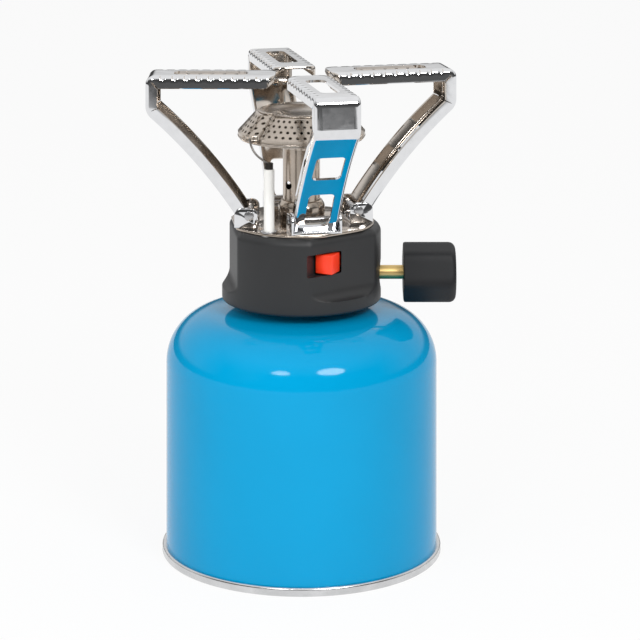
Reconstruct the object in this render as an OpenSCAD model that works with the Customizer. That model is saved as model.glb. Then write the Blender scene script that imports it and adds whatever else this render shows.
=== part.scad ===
// Camping gas stove: a screw-valve gas cartridge with a burner head on top.
// Origin at the middle of the can's bottom, +Z up, the control knob along +X, the viewer at -Y.
// Sizes in millimetres. Each sub-part is one module; node picks what is drawn.

/* [Cartridge can] */
// outside radius of the can wall
can_r = 54.4; // [48:0.1:60]
// height where the wall turns into the shoulder
wall_top = 76; // [55:0.5:100]
// radius of the rolled shoulder
shoulder_r = 20; // [14:0.5:24]
// thickness of the can sheet
can_t = 0.6; // [0.4:0.05:0.9]
// how far the bottom seam stands out past the wall
seam_out = 1.6; // [1:0.1:2.4]
// height of the bottom seam
seam_h = 3.4; // [2.8:0.1:5]
// rise of the hollowed bottom panel
base_dome = 8.5; // [5:0.5:14]

/* [Cartridge valve] */
// outside radius of the rolled rim of the valve cup
cup_r = 16.8; // [16:0.1:19]
// height of the rolled rim
curl_h = 2; // [1.9:0.1:3]
// depth of the cup floor under the top of its rim
cup_depth = 5; // [4.5:0.1:6]
// radius of the threaded post, a 7/16 inch 28 UNEF thread
post_r = 5.5; // [5.5:0.05:5.55]
// height of the post over the rim
post_rise = 5.3; // [4.8:0.1:6]
// travel of the valve stem between open and shut
stem_travel = 1.5; // [1:0.1:1.8]

/* [Burner housing] */
// gap between the cartridge rim and the housing
stove_gap = 0.6; // [0.4:0.1:1.5]
// radius of the plastic housing
housing_r = 32; // [30:0.1:36]
// height of the plastic housing
housing_h = 30.3; // [28:0.1:34]
// distance of the three finger flats from the axis
flat_d = 27.7; // [27.3:0.1:28.5]
// height of the flats' lower ends over the bottom of the housing
flat_rise = 9.3; // [8:0.1:12]
// wall thickness of the housing
housing_t = 2.2; // [1.8:0.1:2.4]
// thickness of the metal base plate
plate_t = 1; // [0.8:0.1:1.5]

/* [Valve and knob] */
// height of the knob's axis over the bottom of the housing
spindle_rise = 10.3; // [9.8:0.1:11]
// radius of the brass spindle
spindle_r = 2.75; // [2.2:0.05:2.8]
// distance of the knob's inner face from the axis
knob_x = 41; // [37:0.5:48]
// length of the knob
knob_len = 21; // [16:0.5:26]
// radius of the knob over its rounded corners
knob_r = 11.9; // [10:0.1:14]
// turn of the knob's six sides about its axis
knob_turn = 12; // [0:1:59]

/* [Burner] */
// radius of the mixing tube
tube_r = 7.5; // [7.3:0.1:8]
// radius of the nut that holds the mixing tube
nut_r = 9.4; // [9:0.1:9.4]
// height of the burner's rim over the base plate
burner_rise = 33; // [30:0.5:36]
// radius of the burner's rim
rim_r = 25.8; // [24:0.1:26]
// radius of the burner's top edge
crown_r = 18.5; // [17:0.1:20]
// height of the burner from rim to top
burner_h = 11; // [9:0.5:12]
// number of flame holes in a row
ports = 52; // [20:1:56]
// radius of a flame hole
port_r = 0.65; // [0.5:0.05:0.75]

/* [Igniter] */
// width of the push button
button_w = 7.3; // [6:0.1:7.6]
// height of the push button
button_h = 7.6; // [6:0.1:8]
// travel of the push button
button_travel = 4.5; // [3:0.1:5]
// height of the button's axis over the bottom of the housing
button_rise = 19.8; // [19.5:0.1:20.3]
// radius of the ceramic insulator
ceramic_r = 2.1; // [1.8:0.05:2.3]
// height of the ceramic insulator over the base plate
ceramic_h = 25; // [22:0.5:27]

/* [Pot supports] */
// height of the pot supports over the base plate
support_h = 60; // [56:0.5:66]
// distance of the supports' outer faces from the axis
support_r = 62.7; // [60:0.1:66]
// width of a support
support_w = 18.5; // [16:0.1:18.8]
// depth of a support's side flanges
flange_d = 5; // [4:0.1:5.5]
// sheet thickness of a support
sheet_t = 1; // [0.8:0.05:1.2]
// grip notches along each edge of a support's bar
grip_n = 9; // [5:1:9]
// length of a grip notch along the edge
grip_len = 2.4; // [1.6:0.1:2.6]
// depth of a grip notch into the corner of the sheet
grip_depth = 0.5; // [0.3:0.05:0.55]
// distance of the top bars' inner ends from the axis
bar_in = 11; // [10.5:0.1:16]
// length of the upright part under the top bar
upright_h = 15; // [12:0.5:18]
// width of the slot along a top bar
slot_w = 8; // [6:0.1:9]
// turn of the cross of supports about the axis
cross_turn = 13; // [13:1:13]
// swing of the left support about its rivet
left_swing = -14; // [-15:0.5:-10]

/* [Hidden] */
big = 300;
fit = 0.05;
eps = 0.02;

// can levels
seam_r = can_r + seam_out;
seam_in = can_r - 1.6;
sh_c = [can_r - shoulder_r, wall_top];
sh_a = 83;
neck_r = cup_r + 0.6;
function sh_t(o) = sh_c + (shoulder_r - o) * [cos(sh_a), sin(sh_a)];
function dome_z(r, o) = sh_t(o).y + (sh_t(o).x - r) / tan(sh_a);
neck_z = dome_z(neck_r, 0);
cup_top = neck_z + curl_h;
cup_in = cup_r - 3.6;
cup_t = 0.6;
cup_hole_r = cup_in + cup_t + 0.2;
cup_floor = cup_top - cup_depth;
post_in = post_r - 1.3;
post_top = cup_top + post_rise;
post_cap = 1.2;
gasket_top = post_top - post_cap;
gasket_bot = gasket_top - 1.3;
valve_bot = cup_floor - 8;
stem_top = post_top - 1.4;
disc_top = gasket_bot - stem_travel;
disc_h = 1.5;
seal_h = 2;
seal_top = post_top + seal_h;

// stove levels
hz0 = cup_top + stove_gap;
hz1 = hz0 + housing_h;
hfloor = hz0 + 2;
pz = hz1 + plate_t;
spindle_z = hz0 + spindle_rise;
button_z = hz0 + button_rise;
block_r = nut_r - 0.1;
block_hole = 6.2;
bonnet_r = 5;
bonnet_x0 = post_r + 0.7;
bonnet_x1 = 25;
gland_x1 = 29.5;
packing_x = 20.5;
packing_h = 2;
packing_r = spindle_r + 1.3;
flat_az = [-53, 67, 187];

// burner levels
nut_h = 8.5;
tube_z0 = pz + 5;
burner_z = pz + burner_rise;
pan_z = burner_z + 0.4;
pan_t = 0.8;
skin = 0.6;
lip_h = 3;
cone_n = atan2(rim_r - crown_r, burner_h - lip_h);

// igniter line: it meets the flat at ig_p and runs inward along ig_a
ig_a = 65;
ig_p = [8.7, -27.9];
case_s0 = 13;
case_s1 = 26;
case_w = 8.2;
case_h = 8.6;
electrode_p = [-12.8, -22.6];
lead_r = 0.9;
lead_z = button_z + case_h / 2 + lead_r + 0.4;
ceramic_z0 = lead_z + lead_r + 0.6;

// supports
top_z = pz + support_h;
floor_t = 1;
foot_z = pz + floor_t;
rivet_d = housing_r - 11.5;
foot_r = rivet_d + 4;
knee = [support_r, top_z - upright_h];
foot = [foot_r, foot_z];
chord = norm(knee - foot);
chord_a = atan2(knee.y - foot.y, knee.x - foot.x);
sag_a = 8.5;
arc_r = chord / (2 * sin(sag_a));
arc_c = (knee + foot) / 2 + arc_r * cos(sag_a) * [sin(chord_a), -cos(chord_a)];
top_round = 3.5;
notch_in = 2.2;
notch_w = 0.5;
knee_round = 6;
knee_x = support_r - knee_round;
knee_z = arc_c.y + sqrt(pow(arc_r + knee_round, 2) - pow(arc_c.x - knee_x, 2));
knee_a = atan2(arc_c.y - knee_z, arc_c.x - knee_x);
pin_p = [rivet_d + 0.7, foot_z + 3.7];
pin_r = 1.2;
ear_t = 0.95;
ear_h = 7.5;
pin_half = support_w / 2 + ear_t + 0.5;
arm_az = [-90 + cross_turn, cross_turn, 90 + cross_turn, 180 + cross_turn];

function arc_z(r) = arc_c.y + sqrt(arc_r * arc_r - pow(arc_c.x - r, 2));

// a tube standing on z0
module ring(r_in, r_out, z0, z1, n = 64) {
    translate([0, 0, z0]) difference() {
        cylinder(r = r_out, h = z1 - z0, $fn = n);
        translate([0, 0, -1]) cylinder(r = r_in, h = z1 - z0 + 2, $fn = n);
    }
}

// a rod along +X at the spindle's height
module rod_x(r, x0, x1, n = 48) {
    translate([x0, 0, spindle_z]) rotate([0, 90, 0]) cylinder(r = r, h = x1 - x0, $fn = n);
}

// a rectangle with rounded corners, its lower left corner at p
module round_rect(p, s, r) {
    translate(p + [r, 0]) square([s.x - 2 * r, s.y]);
    translate(p + [0, r]) square([s.x, s.y - 2 * r]);
    for (x = [r, s.x - r], y = [r, s.y - r]) translate(p + [x, y]) circle(r = r, $fn = 24);
}

// half outline of the can, drawn in by o
module can_outline(o) {
    translate([0, seam_h]) square([can_r - o, wall_top - seam_h]);
    intersection() {
        translate(sh_c) circle(r = shoulder_r - o, $fn = 96);
        translate(sh_c) square([shoulder_r, shoulder_r]);
    }
    polygon([[0, wall_top - 1], [sh_c.x, wall_top - 1], sh_c, sh_t(o),
        [neck_r, dome_z(neck_r, o)], [0, dome_z(neck_r, o)]]);
}

module can_shell() {
    color([0, 0.62, 0.87]) rotate_extrude($fn = 128) difference() {
        can_outline(0);
        can_outline(can_t);
        translate([0, seam_h - 1]) square([can_r - can_t, 2]);
        square([cup_hole_r, big]);
    }
}

module can_base() {
    panel_z = 2.1 + base_dome;
    panel_r = (seam_in * seam_in + base_dome * base_dome) / (2 * base_dome);
    color([0.78, 0.78, 0.8]) rotate_extrude($fn = 128) {
        round_rect([seam_in, 0], [seam_r - seam_in, seam_h], 0.8);
        intersection() {
            translate([0, panel_z - panel_r]) difference() {
                circle(r = panel_r, $fn = 128);
                circle(r = panel_r - 0.5, $fn = 128);
            }
            square([seam_in + 0.4, panel_z + 1]);
        }
    }
}

module valve_cup() {
    color([0.8, 0.79, 0.76]) rotate_extrude($fn = 96) {
        translate([cup_in, neck_z]) square([cup_r - cup_in, curl_h - 0.9]);
        round_rect([cup_in, neck_z], [cup_r - cup_in, curl_h], 0.9);
        translate([cup_in, cup_floor]) square([cup_t, cup_depth - 1]);
        translate([post_in, cup_floor]) square([cup_in + cup_t - post_in, cup_t]);
        translate([post_in, cup_floor]) square([post_r - post_in, post_top - cup_floor]);
        translate([2.2, gasket_top]) square([post_r - 2.2, post_cap]);
    }
}

module valve_housing() {
    color([0.85, 0.85, 0.82]) rotate_extrude($fn = 64) {
        translate([2.9, valve_bot]) square([post_in - eps - 2.9, gasket_bot - valve_bot]);
        translate([0.8, valve_bot - 1]) square([post_in - eps - 0.8, 1]);
        translate([2.9, cup_floor - 2]) square([4, 2]);
    }
}

module valve_gasket() {
    color([0.12, 0.12, 0.12]) ring(1.75, post_in - eps, gasket_bot, gasket_top);
}

module valve_spring() {
    len = disc_top - disc_h - valve_bot;
    color([0.7, 0.7, 0.72]) translate([0, 0, valve_bot])
        linear_extrude(height = len, twist = -360 * 5, slices = 80)
        translate([1.9, 0]) circle(r = 0.32, $fn = 8);
}

module valve_stem() {
    color([0.8, 0.68, 0.4]) rotate_extrude($fn = 48) {
        translate([0, disc_top - disc_h]) square([1.4, stem_top - disc_top + disc_h]);
        translate([0, disc_top - disc_h]) square([2.5, disc_h]);
        translate([0, disc_top - disc_h - 2]) square([1.2, 2.5]);
    }
}

module inlet_seal() {
    color([0.1, 0.1, 0.1]) ring(1.9, post_r - 0.35, post_top, seal_top);
}

module valve_block() {
    boss_z = cup_floor + cup_t + 0.9;
    out_l = norm([bonnet_x0 + 1.5, pz + 1 - spindle_z]);
    out_a = atan2(bonnet_x0 + 1.5, pz + 1 - spindle_z);
    color([0.82, 0.66, 0.33]) difference() {
        union() {
            translate([0, 0, boss_z]) cylinder(r = 8.8, h = hz0 - boss_z, $fn = 64);
            translate([0, 0, hz0 - 2.2]) cylinder(r = cup_in - 1.7, h = 2.2, $fn = 64);
            translate([0, 0, hz0 - 1]) cylinder(r = block_r, h = hz1 - hz0 + 1, $fn = 64);
            translate([0, 0, hz1 - 1]) cylinder(r = block_hole, h = plate_t + 6, $fn = 64);
        }
        translate([0, 0, boss_z - 1]) cylinder(r = post_r + fit, h = seal_top - boss_z + 1 + eps, $fn = 64);
        translate([0, 0, seal_top - 1]) cylinder(r = 1 + eps, h = 3.2, $fn = 32);
        translate([-2.6, 0, seal_top - 1]) cylinder(r = 0.7, h = spindle_z - seal_top + 1.4, $fn = 24);
        rod_x(0.8, -2.6, bonnet_x0 + 1, 24);
        rod_x(bonnet_r, bonnet_x0, big);
        translate([bonnet_x0 + 1.5, 0, spindle_z]) rotate([0, -out_a, 0])
            cylinder(r = 0.8, h = out_l, $fn = 24);
        translate([0, 0, pz + 1]) cylinder(r = 3 + eps, h = 8, $fn = 48);
        translate([0, 0, pz]) cylinder(r = 1.2, h = 8, $fn = 24);
    }
}

module depressor_pin() {
    color([0.75, 0.75, 0.76]) translate([0, 0, stem_top])
        cylinder(r = 1, h = seal_top + 2 - stem_top, $fn = 32);
}

module gas_jet() {
    color([0.83, 0.68, 0.36]) difference() {
        union() {
            translate([0, 0, pz + 1.2]) cylinder(r = 3, h = 4.3, $fn = 48);
            translate([0, 0, pz + 5]) cylinder(r = 4.2, h = 2.2, $fn = 6);
            translate([0, 0, pz + 7]) cylinder(r = 2.2, h = 1.6, $fn = 32);
        }
        translate([0, 0, pz]) cylinder(r = 0.9, h = 7.6, $fn = 24);
        translate([0, 0, pz + 7]) cylinder(r = 0.3, h = 2, $fn = 16);
    }
}

// the room cut away by one finger flat, set in by o
module flat_cut(o) {
    rotate([90, 0, 0]) translate([0, 0, -25]) linear_extrude(height = 50) difference() {
        translate([flat_d - o, hz0 + flat_rise - 4]) square([40, big]);
        translate([flat_d - o, hz0 + flat_rise - 4]) difference() {
            square([4.4, 4.4]);
            translate([4.4, 4.4]) circle(r = 4.4, $fn = 48);
        }
    }
}

module housing() {
    sx = ig_p + case_s0 * [cos(ig_a), sin(ig_a)];
    color([0.2, 0.2, 0.21]) difference() {
        union() {
            difference() {
                rotate_extrude($fn = 128) {
                    round_rect([housing_r - 12, hz0], [12, housing_h], 4);
                    translate([0, hz0]) square([housing_r - 4, housing_h]);
                    translate([0, hz0 + 1.2]) square([housing_r, 8]);
                    round_rect([housing_r - 6, hz0], [6, 6], 1.2);
                }
                for (a = flat_az) rotate([0, 0, a]) flat_cut(0);
                translate([0, 0, hfloor]) difference() {
                    union() {
                        cylinder(r = housing_r - 2.9, h = housing_h - 7, $fn = 96);
                        cylinder(r = housing_r - 6.2, h = big, $fn = 96);
                    }
                    for (a = flat_az) rotate([0, 0, a])
                        translate([flat_d - housing_t, -100, -1]) cube([100, 200, big + 2]);
                }
            }
            translate([ig_p.x, ig_p.y, 0]) rotate([0, 0, ig_a])
                translate([case_s0 + 1, -2.5, hfloor - 1])
                cube([9, 5, button_z - case_h / 2 - hfloor + 1]);
        }
        translate([0, 0, hz0 - 1]) cylinder(r = block_r + 0.1, h = 4, $fn = 64);
        rod_x(bonnet_r + 1.6, 20, 40);
        translate([ig_p.x, ig_p.y, button_z]) rotate([0, 0, ig_a])
            translate([-20, -button_w / 2 - 0.6, -button_h / 2 - 0.6])
            cube([20 + case_s0 - 1, button_w + 1.2, button_h + 1.2]);
        translate([electrode_p.x, electrode_p.y, hz1 - 6]) cylinder(r = ceramic_r + 1.5, h = 8, $fn = 48);
    }
}

module base_plate() {
    color([0.74, 0.7, 0.64]) difference() {
        translate([0, 0, hz1]) cylinder(r = housing_r - 2.8, h = plate_t, $fn = 96);
        for (a = flat_az) rotate([0, 0, a])
            translate([flat_d - 0.2, -100, hz1 - 1]) cube([100, 200, plate_t + 2]);
        translate([0, 0, hz1 - 1]) cylinder(r = block_hole + fit, h = plate_t + 2, $fn = 64);
        for (a = arm_az) rotate([0, 0, a])
            translate([rivet_d, 0, hz1 - 1]) cylinder(r = 1.5 + eps, h = plate_t + 2, $fn = 32);
        translate([electrode_p.x, electrode_p.y, hz1 - 1])
            cylinder(r = ceramic_r + fit, h = plate_t + 2, $fn = 48);
    }
}

module swivel_rivets() {
    color([0.78, 0.77, 0.75]) for (a = arm_az) rotate([0, 0, a]) translate([rivet_d, 0, 0]) {
        translate([0, 0, hz1 - 1.1]) cylinder(r = 2.4, h = 1.1, $fn = 32);
        translate([0, 0, hz1 - 1]) cylinder(r = 1.5, h = plate_t + floor_t + 1.5, $fn = 32);
        translate([0, 0, foot_z]) cylinder(r = 2.4, h = 1.1, $fn = 32);
    }
}

module tube_nut() {
    color([0.72, 0.68, 0.62]) rotate_extrude($fn = 64) difference() {
        polygon([[0, pz], [nut_r, pz], [nut_r, pz + nut_h - 2], [nut_r - 1.2, pz + nut_h], [0, pz + nut_h]]);
        translate([0, pz - 1]) square([block_hole + eps, big]);
        translate([0, tube_z0]) square([tube_r + eps, big]);
    }
}

module mixing_tube() {
    color([0.7, 0.66, 0.6]) difference() {
        ring(tube_r - 0.7, tube_r, tube_z0, pan_z + pan_t + 1);
        for (a = [45 : 90 : 315]) translate([0, 0, pz + 15]) rotate([0, 90, a])
            cylinder(r = 1.7, h = 12, $fn = 32);
    }
}

module burner_pan() {
    color([0.7, 0.66, 0.6]) rotate_extrude($fn = 96) {
        translate([tube_r + eps, pan_z]) square([rim_r - skin - eps - tube_r - eps, pan_t]);
        translate([tube_r + eps, pan_z - 4]) square([0.9, 4.4]);
    }
}

module burner_skirt() {
    color([0.76, 0.72, 0.66]) difference() {
        rotate_extrude($fn = 96) polygon([
            [rim_r, burner_z], [rim_r, burner_z + lip_h], [crown_r, burner_z + burner_h],
            [crown_r - 4, burner_z + burner_h], [crown_r - 4, burner_z + burner_h - skin],
            [crown_r - 0.3, burner_z + burner_h - skin], [rim_r - skin, burner_z + lip_h - 0.25],
            [rim_r - skin, burner_z]]);
        for (row = [0 : 3], i = [0 : ports - 1]) {
            t = 0.17 + 0.23 * row;
            rotate([0, 0, (i + 0.5 * (row % 2)) * 360 / ports])
                translate([rim_r + t * (crown_r - rim_r), 0, burner_z + lip_h + t * (burner_h - lip_h)])
                rotate([0, 90 - cone_n, 0]) translate([0, 0, -1.4])
                cylinder(r = port_r, h = 2.8, $fn = 16);
        }
    }
}

module burner_cap() {
    color([0.78, 0.75, 0.7]) rotate_extrude($fn = 96) {
        translate([0, burner_z + burner_h]) square([crown_r - 1, skin]);
        translate([0, burner_z + burner_h - 1.4]) square([crown_r - 4 - eps, 1.8]);
    }
}

module electrode_ceramic() {
    color([0.93, 0.92, 0.9]) translate([electrode_p.x, electrode_p.y, 0]) difference() {
        union() {
            translate([0, 0, ceramic_z0])
                cylinder(r = ceramic_r, h = pz + ceramic_h - ceramic_z0, $fn = 48);
            translate([0, 0, ceramic_z0]) cylinder(r = ceramic_r + 1, h = hz1 - ceramic_z0, $fn = 48);
        }
        translate([0, 0, pz + ceramic_h - 6]) cylinder(r = 0.6 + eps, h = 8, $fn = 24);
    }
}

module electrode_clip() {
    color([0.75, 0.75, 0.76]) translate([electrode_p.x, electrode_p.y, 0])
        ring(ceramic_r + eps, ceramic_r + 1.3, pz, pz + 0.7, 48);
}

// a round wire from point to point
module wire(pts, r, n) {
    for (i = [0 : len(pts) - 2]) {
        d = pts[i + 1] - pts[i];
        translate(pts[i]) rotate([0, acos(d.z / norm(d)), atan2(d.y, d.x)])
            cylinder(r = r, h = norm(d), $fn = n);
        if (i > 0) translate(pts[i]) sphere(r = r + 0.06, $fn = n);
    }
}

module electrode_wire() {
    e = [electrode_p.x, electrode_p.y, pz + ceramic_h];
    color([0.45, 0.42, 0.4]) wire([e + [0, 0, -6], e + [0, 0, 4], e + [-2, 1.3, 7],
        e + [-6.6, 3.9, 8.6], e + [-7.7, 4.6, 10], e + [-7.8, 4.6, 12.4]], 0.6, 20);
}

module igniter_lead() {
    e = [electrode_p.x, electrode_p.y];
    q = ig_p + (case_s1 - 2.5) * [cos(ig_a), sin(ig_a)];
    color([0.15, 0.15, 0.16]) wire([[q.x, q.y, button_z + case_h / 2], [q.x, q.y, lead_z],
        [e.x, e.y, lead_z], [e.x, e.y, ceramic_z0]], lead_r, 20);
}

module igniter_unit() {
    color([0.12, 0.12, 0.13]) translate([ig_p.x, ig_p.y, button_z]) rotate([0, 0, ig_a]) difference() {
        translate([case_s0, -case_w / 2, -case_h / 2]) cube([case_s1 - case_s0, case_w, case_h]);
        translate([case_s0 - 1, -2.9, -2.9]) cube([9.5, 5.8, 5.8]);
    }
}

module igniter_button() {
    color([0.93, 0.22, 0.1]) translate([ig_p.x, ig_p.y, button_z]) rotate([0, 0, ig_a]) {
        translate([0, -button_w / 2, -button_h / 2]) cube([case_s0 - button_travel - 1, button_w, button_h]);
        translate([case_s0 - button_travel - 2, -2.5, -2.5]) cube([button_travel + 4, 5, 5]);
    }
}

module valve_bonnet() {
    color([0.82, 0.67, 0.35]) difference() {
        rod_x(bonnet_r - eps, bonnet_x0, bonnet_x1);
        rod_x(2.2, bonnet_x0 + 1, bonnet_x1);
        rod_x(0.8, bonnet_x0 - 1, bonnet_x0 + 2, 24);
        rod_x(spindle_r + fit, 10, bonnet_x1 + 1);
        rod_x(packing_r + fit, packing_x - 0.4, bonnet_x1 + 1);
        translate([bonnet_x0 + 1.5, 0, spindle_z]) cylinder(r = 0.8, h = 8, $fn = 24);
    }
}

module gland_nut() {
    color([0.8, 0.66, 0.36]) difference() {
        rod_x(bonnet_r + 1, bonnet_x1, gland_x1);
        rod_x(spindle_r + fit, bonnet_x1 - 1, gland_x1 + 1);
    }
}

module spindle_packing() {
    color([0.1, 0.1, 0.1]) difference() {
        rod_x(packing_r, packing_x, packing_x + packing_h);
        rod_x(spindle_r + fit, packing_x - 1, packing_x + packing_h + 1);
    }
}

module control_spindle() {
    color([0.86, 0.7, 0.38]) union() {
        rod_x(spindle_r, 12, knob_x + 9);
        rod_x(1.8, bonnet_x0 + 3.5, 13, 32);
        translate([bonnet_x0 + 0.7, 0, spindle_z]) rotate([0, 90, 0])
            cylinder(r1 = 0.5, r2 = 1.8, h = 3, $fn = 32);
    }
}

module control_knob() {
    color([0.19, 0.19, 0.2]) difference() {
        intersection() {
            translate([knob_x, 0, spindle_z]) rotate([90 + knob_turn, 0, 0]) rotate([0, 90, 0])
                cylinder(r = knob_r + 0.5, h = knob_len, $fn = 6);
            translate([knob_x, 0, spindle_z]) rotate([0, 90, 0]) rotate_extrude($fn = 96) {
                round_rect([0, knob_len - 10], [knob_r, 10], 2.8);
                translate([0, knob_len - 6]) square([4, 6]);
                translate([0, 0.8]) square([knob_r, knob_len - 6]);
                translate([0, 0]) square([knob_r - 0.8, 6]);
            }
        }
        rod_x(spindle_r + eps, knob_x - 1, knob_x + 9);
    }
}

// side outline of a support, everything more than o inside its outer line
module support_side(o) {
    difference() {
        union() {
            translate([bar_in - 5, foot_z]) square([support_r - o - bar_in + 5, top_z - top_round - foot_z]);
            translate([bar_in - 5, foot_z]) square([support_r - top_round - bar_in + 5, top_z - o - foot_z]);
            translate([support_r - top_round, top_z - top_round]) circle(r = top_round - min(o, 3), $fn = 48);
        }
        translate(arc_c) circle(r = arc_r + o, $fn = 360);
        difference() {
            polygon([[knee_x, knee_z], [knee_x + 40, knee_z], [knee_x + 40, knee_z - 40],
                [knee_x + 40 * cos(knee_a), knee_z + 40 * sin(knee_a)]]);
            translate([knee_x, knee_z]) circle(r = knee_round - o, $fn = 48);
        }
    }
}

// a rounded window through the strut between two distances from the axis
module strut_window(r0, r1, w) {
    p0 = [r0, arc_z(r0)];
    p1 = [r1, arc_z(r1)];
    a = atan2(p1.y - p0.y, p1.x - p0.x);
    translate([p0.x, 0, p0.y]) rotate([0, -a, 0]) translate([0, 0, -3]) linear_extrude(height = 9)
        round_rect([0, -w / 2], [norm(p1 - p0), w], 2);
}

// relief notches in the side flanges where the sheet bends, and the rounded ends of the bar's flanges
module flange_cuts() {
    corner = [support_r - flange_d, top_z - flange_d];
    polygon([[support_r - notch_in, top_z - notch_in], corner + notch_w * [-1.6, -0.3],
        corner + notch_w * [-0.3, -1.6]]);
    translate([knee_x, knee_z]) rotate(knee_a / 2)
        polygon([[knee_round - notch_in, 0], [knee_round - flange_d - 1, notch_w],
            [knee_round - flange_d - 1, -notch_w]]);
    difference() {
        translate([bar_in - 1, top_z - flange_d - 1]) square([flange_d + 1, flange_d + 1 - sheet_t]);
        translate([bar_in + flange_d, top_z]) circle(r = flange_d, $fn = 48);
    }
}

// notches pressed across both edges of the bar, so that a pot doesn't slide
module grip_notches() {
    first = bar_in + flange_d + 1.5;
    pitch = (support_r - top_round - 3.3 - first) / (grip_n - 1);
    r = (grip_len * grip_len / 4 + grip_depth * grip_depth) / (2 * grip_depth);
    for (i = [0 : grip_n - 1], s = [-1, 1]) translate([first + pitch * i, s * support_w / 2, top_z])
        rotate([45 * s, 0, 0]) translate([0, s * (r - grip_depth), 0])
            cylinder(r = r, h = 4, center = true, $fn = 24);
}

module support() {
    color([0.86, 0.87, 0.89]) difference() {
        union() {
            rotate([90, 0, 0]) translate([0, 0, -support_w / 2]) linear_extrude(height = support_w)
                difference() {
                    support_side(0);
                    support_side(flange_d);
                }
            for (s = [-1, 1]) translate([pin_p.x, s * (support_w - sheet_t) / 2, pin_p.y]) rotate([90, 0, 0])
                cylinder(r = 3.2, h = sheet_t, center = true, $fn = 48);
        }
        rotate([90, 0, 0]) translate([0, 0, -support_w / 2 + sheet_t])
            linear_extrude(height = support_w - 2 * sheet_t) support_side(sheet_t);
        rotate([90, 0, 0]) translate([0, 0, -support_w]) linear_extrude(height = 2 * support_w) flange_cuts();
        translate([-50, -50, top_z - 40]) cube([50 + bar_in, 100, 80]);
        for (s = [-1, 1]) translate([bar_in, s * support_w / 2, top_z - 20]) scale([1, s, 1])
            translate([0, -4, 0]) linear_extrude(height = 40) difference() {
                translate([-1, 0]) square([5, 5]);
                translate([4, 0]) circle(r = 4, $fn = 32);
            }
        translate([0, 0, top_z - 6]) linear_extrude(height = 12)
            round_rect([bar_in + 11, -slot_w / 2], [support_r - bar_in - 22, slot_w], 2.5);
        grip_notches();
        strut_window(26.3, 36.3, 10.4);
        strut_window(42, 51.8, 11.6);
        translate([pin_p.x, 0, pin_p.y]) rotate([90, 0, 0])
            cylinder(r = pin_r + eps, h = 60, center = true, $fn = 32);
        translate([-20, -50, -big]) cube([200, 100, big + foot_z]);
    }
}

module bracket() {
    half = support_w / 2;
    color([0.8, 0.8, 0.81]) difference() {
        union() {
            translate([rivet_d - 2.8, -half - ear_t, pz]) cube([9.4, 2 * (half + ear_t), floor_t]);
            for (s = [-1, 1]) translate([0, s * (half + ear_t / 2) + ear_t / 2, 0]) rotate([90, 0, 0])
                linear_extrude(height = ear_t) {
                    translate([rivet_d - 2.8, pz]) square([9.4, ear_h - 3]);
                    round_rect([rivet_d - 2.8, pz], [9.4, ear_h], 2.6);
                }
        }
        translate([rivet_d, 0, pz - 1]) cylinder(r = 1.5 + fit, h = 3, $fn = 32);
        translate([pin_p.x, 0, pin_p.y]) rotate([90, 0, 0])
            cylinder(r = pin_r + eps, h = 60, center = true, $fn = 32);
    }
}

module cross_pin() {
    half = support_w / 2 + ear_t;
    color([0.72, 0.72, 0.73]) translate([pin_p.x, 0, pin_p.y]) rotate([90, 0, 0]) {
        cylinder(r = pin_r, h = 2 * pin_half, center = true, $fn = 32);
        for (s = [-1, 1]) translate([0, 0, s * (half + pin_half) / 2])
            cylinder(r = 1.9, h = pin_half - half, center = true, $fn = 32);
    }
}

// the left support's place: swung about its rivet
module left_place() {
    rotate([0, 0, arm_az[3]]) translate([rivet_d, 0, 0]) rotate([0, 0, left_swing])
        translate([-rivet_d, 0, 0]) children();
}

module support_front() { rotate([0, 0, arm_az[0]]) support(); }
module support_right() { rotate([0, 0, arm_az[1]]) support(); }
module support_rear() { rotate([0, 0, arm_az[2]]) support(); }
module support_left() { left_place() support(); }
module bracket_front() { rotate([0, 0, arm_az[0]]) bracket(); }
module bracket_right() { rotate([0, 0, arm_az[1]]) bracket(); }
module bracket_rear() { rotate([0, 0, arm_az[2]]) bracket(); }
module bracket_left() { left_place() bracket(); }
module cross_pin_front() { rotate([0, 0, arm_az[0]]) cross_pin(); }
module cross_pin_right() { rotate([0, 0, arm_az[1]]) cross_pin(); }
module cross_pin_rear() { rotate([0, 0, arm_az[2]]) cross_pin(); }
module cross_pin_left() { left_place() cross_pin(); }

can_shell();
can_base();
valve_cup();
valve_housing();
valve_gasket();
valve_spring();
valve_stem();
inlet_seal();
valve_block();
depressor_pin();
gas_jet();
housing();
base_plate();
swivel_rivets();
tube_nut();
mixing_tube();
burner_pan();
burner_skirt();
burner_cap();
electrode_ceramic();
electrode_clip();
electrode_wire();
igniter_lead();
igniter_unit();
igniter_button();
valve_bonnet();
gland_nut();
spindle_packing();
control_spindle();
control_knob();
support_front();
support_right();
support_rear();
support_left();
bracket_front();
bracket_right();
bracket_rear();
bracket_left();
cross_pin_front();
cross_pin_right();
cross_pin_rear();
cross_pin_left();
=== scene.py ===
import math

import bmesh
import bpy
from mathutils import Matrix, Vector


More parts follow.
